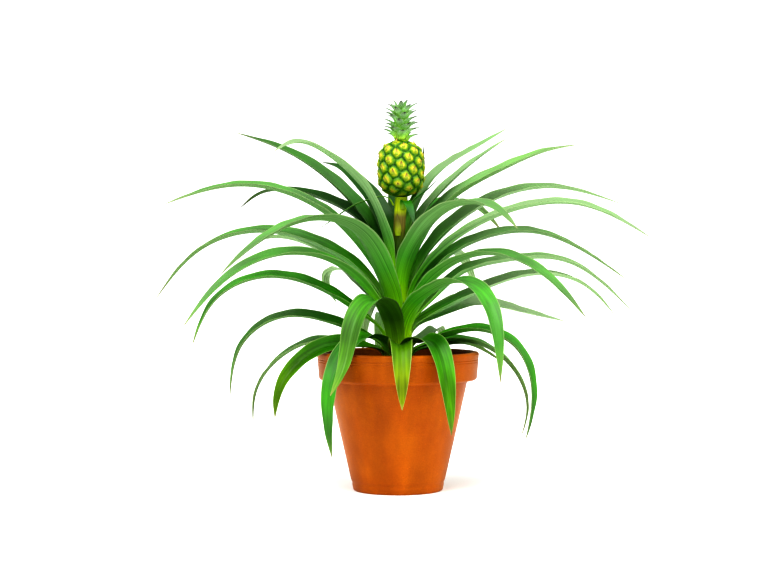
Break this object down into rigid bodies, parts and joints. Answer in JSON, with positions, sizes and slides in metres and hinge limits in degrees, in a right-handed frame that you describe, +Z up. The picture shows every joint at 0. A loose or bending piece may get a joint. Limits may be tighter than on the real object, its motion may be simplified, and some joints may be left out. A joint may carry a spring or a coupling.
{
  "type": "potted pineapple plant",
  "caption": "Dwarf pineapple plant with arching strap leaves and one small crowned fruit, growing in a tapered terracotta pot with a collar.",
  "frame": {"origin": "on the pot's axis, at the surface it stands on", "axes": "+Z up, +X to the right and -Y towards the front, the side the lowest front leaves hang over"},
  "size_m": [0.499, 0.3727, 0.3913],
  "materials": {
    "terracotta": "matt fired clay with a faint sheen",
    "soil": "dark loose potting mix",
    "stem": "smooth pale green stalk",
    "fruit_skin": "yellow eyes with green seams",
    "crown_leaf": "blue-green with a silvery bloom",
    "leaf": "satin green, paler and finely ribbed below",
    "bract": "satin dark green"
  },
  "bodies": {
    "root": {"bract_back_right": "bract", "bract_front": "bract", "bract_left": "bract", "bract_right": "bract", "bract_right_upright": "bract", "bract_stalk": "bract", "crown": "crown_leaf", "fruit": "fruit_skin", "leaf_back_left_curled": "leaf", "leaf_back_left_high": "leaf", "leaf_back_left_mid": "leaf", "leaf_back_left_short": "leaf", "leaf_back_left_top": "leaf", "leaf_back_low": "leaf", "leaf_back_mid": "leaf", "leaf_back_right_high": "leaf", "leaf_back_right_lowest": "leaf", "leaf_back_right_mid": "leaf", "leaf_back_right_mid_low": "leaf", "leaf_back_right_short": "leaf", "leaf_back_right_top": "leaf", "leaf_back_top": "leaf", "leaf_front_folded": "leaf", "leaf_front_left_drooping": "leaf", "leaf_front_left_high": "leaf", "leaf_front_left_lowest": "leaf", "leaf_front_left_mid": "leaf", "leaf_front_left_top": "leaf", "leaf_front_over_rim": "leaf", "leaf_front_right_arch": "leaf", "leaf_front_right_high": "leaf", "leaf_front_right_mid": "leaf", "leaf_front_right_over_rim": "leaf", "leaf_left_dry_tip": "leaf", "leaf_left_long_arch": "leaf", "leaf_left_low_arch": "leaf", "leaf_left_lowest": "leaf", "leaf_left_mid_low": "leaf", "leaf_left_rising": "leaf", "leaf_right_bent": "leaf", "leaf_right_high": "leaf", "leaf_right_high_arch": "leaf", "leaf_right_longest": "leaf", "leaf_right_low_arch": "leaf", "leaf_right_mid": "leaf", "leaf_right_rising": "leaf", "leaf_right_straight": "leaf", "leaf_right_top": "leaf", "pot": "terracotta", "soil": "soil", "stem": "stem"}
  },
  "joints": []
}
